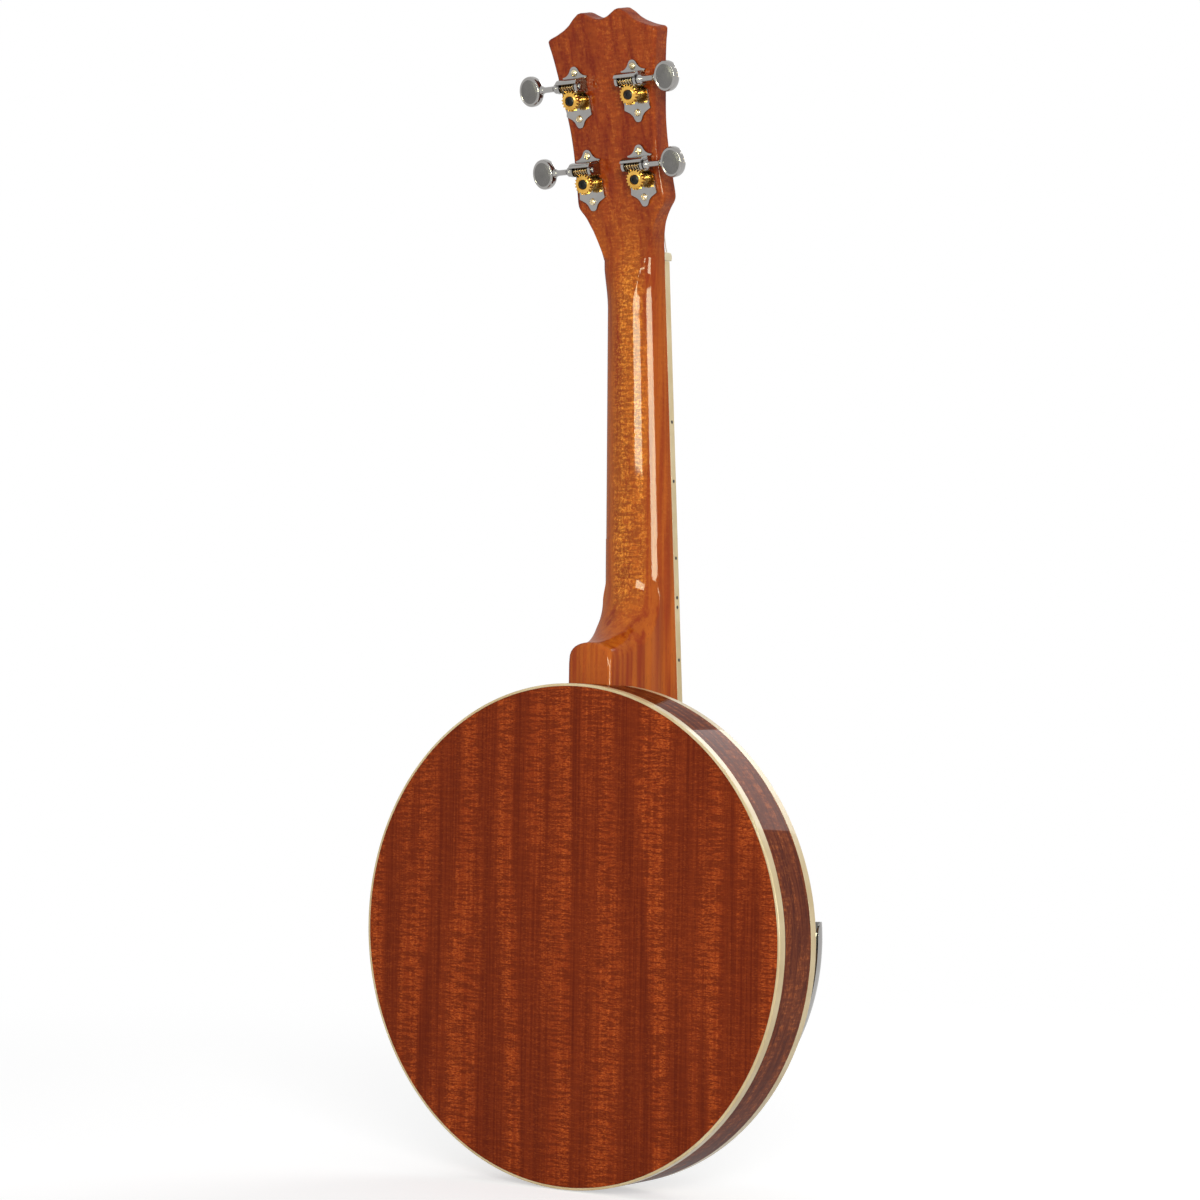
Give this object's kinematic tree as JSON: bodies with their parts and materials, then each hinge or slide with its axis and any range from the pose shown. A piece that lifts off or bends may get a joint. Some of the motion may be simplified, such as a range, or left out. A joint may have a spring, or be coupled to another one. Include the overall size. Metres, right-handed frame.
{
  "type": "banjo ukulele",
  "caption": "Small banjo with a ukulele neck: round drum head in a deep glossy wooden resonator, open geared tuners, flange, hooks, bridge, tailpiece and armrest.",
  "frame": {"origin": "point in the throat of the headstock, in the middle of its thickness and just above the nut, where a hanger's fork holds the instrument", "axes": "+Z along the instrument towards the tip of the headstock, +Y towards the strings, and +X to the right for someone who looks at the resonator's back"},
  "size_m": [0.2666, 0.0877, 0.6286],
  "materials": {
    "resonator_back_wood": "glossy lacquered mahogany",
    "resonator_side_wood": "glossy lacquered mahogany",
    "neck_wood": "glossy lacquered mahogany",
    "maple": "satin",
    "fretboard_wood": "satin",
    "cream_binding": "gloss",
    "bone": "satin",
    "nickel": "polished",
    "gear_brass": "polished",
    "drum_skin": "frosted",
    "nylon": "gloss"
  },
  "bodies": {
    "instrument": {"neck": "neck_wood", "fretboard": "fretboard_wood", "nut": "bone", "string_1": "nylon", "string_2": "nylon", "string_3": "nylon", "string_4": "nylon", "rim": "maple", "head": "drum_skin", "tension_hoop": "nickel", "flange": "nickel", "coordinator_rod": "nickel", "resonator_back": "resonator_back_wood", "resonator_side": "resonator_side_wood", "back_binding": "cream_binding", "front_binding": "cream_binding", "hook_1": "nickel", "hook_2": "nickel", "hook_3": "nickel", "hook_4": "nickel", "hook_5": "nickel", "hook_6": "nickel", "hook_7": "nickel", "hook_8": "nickel", "hook_9": "nickel", "hook_10": "nickel", "hook_11": "nickel", "hook_12": "nickel", "tailpiece": "nickel", "tailpiece_bolt": "nickel", "bridge": "maple", "armrest": "nickel", "tuner_1_plate": "nickel", "tuner_1_bushing": "nickel", "tuner_2_plate": "nickel", "tuner_2_bushing": "nickel", "tuner_3_plate": "nickel", "tuner_3_bushing": "nickel", "tuner_4_plate": "nickel", "tuner_4_bushing": "nickel"},
    "tuner_1_drive": {"tuner_1_worm": "nickel", "tuner_1_button": "nickel"},
    "tuner_1_wheel": {"tuner_1_gear": "gear_brass", "tuner_1_post": "nickel", "tuner_1_winding": "nylon"},
    "tuner_2_drive": {"tuner_2_worm": "nickel", "tuner_2_button": "nickel"},
    "tuner_2_wheel": {"tuner_2_gear": "gear_brass", "tuner_2_post": "nickel", "tuner_2_winding": "nylon"},
    "tuner_3_drive": {"tuner_3_worm": "nickel", "tuner_3_button": "nickel"},
    "tuner_3_wheel": {"tuner_3_gear": "gear_brass", "tuner_3_post": "nickel", "tuner_3_winding": "nylon"},
    "tuner_4_drive": {"tuner_4_worm": "nickel", "tuner_4_button": "nickel"},
    "tuner_4_wheel": {"tuner_4_gear": "gear_brass", "tuner_4_post": "nickel", "tuner_4_winding": "nylon"}
  },
  "joints": [
    {"name": "tuner_1_button_turn", "type": "hinge", "parent": "instrument", "child": "tuner_1_drive", "pos_m": [0.0169, -0.02051, 0.02893], "axis": [1, 0, 0], "continuous": true},
    {"name": "tuner_1_post_turn", "type": "hinge", "parent": "instrument", "child": "tuner_1_wheel", "pos_m": [0.0169, -0.0116, 0.02345], "axis": [0, -0.9728, -0.2317], "continuous": true},
    {"name": "tuner_2_button_turn", "type": "hinge", "parent": "instrument", "child": "tuner_2_drive", "pos_m": [0.019, -0.0309, 0.07251], "axis": [1, 0, 0], "continuous": true},
    {"name": "tuner_2_post_turn", "type": "hinge", "parent": "instrument", "child": "tuner_2_wheel", "pos_m": [0.019, -0.02198, 0.06703], "axis": [0, -0.9728, -0.2317], "continuous": true},
    {"name": "tuner_3_button_turn", "type": "hinge", "parent": "instrument", "child": "tuner_3_drive", "pos_m": [-0.019, -0.0309, 0.07251], "axis": [1, 0, 0], "continuous": true},
    {"name": "tuner_3_post_turn", "type": "hinge", "parent": "instrument", "child": "tuner_3_wheel", "pos_m": [-0.019, -0.02198, 0.06703], "axis": [0, -0.9728, -0.2317], "continuous": true},
    {"name": "tuner_4_button_turn", "type": "hinge", "parent": "instrument", "child": "tuner_4_drive", "pos_m": [-0.0169, -0.02051, 0.02893], "axis": [1, 0, 0], "continuous": true},
    {"name": "tuner_4_post_turn", "type": "hinge", "parent": "instrument", "child": "tuner_4_wheel", "pos_m": [-0.0169, -0.0116, 0.02345], "axis": [0, -0.9728, -0.2317], "continuous": true}
  ],
  "couplings": [
    {"joint": "tuner_1_post_turn", "follows": "tuner_1_button_turn", "ratio": 0.055556},
    {"joint": "tuner_2_post_turn", "follows": "tuner_2_button_turn", "ratio": 0.055556},
    {"joint": "tuner_3_post_turn", "follows": "tuner_3_button_turn", "ratio": 0.055556},
    {"joint": "tuner_4_post_turn", "follows": "tuner_4_button_turn", "ratio": 0.055556}
  ]
}
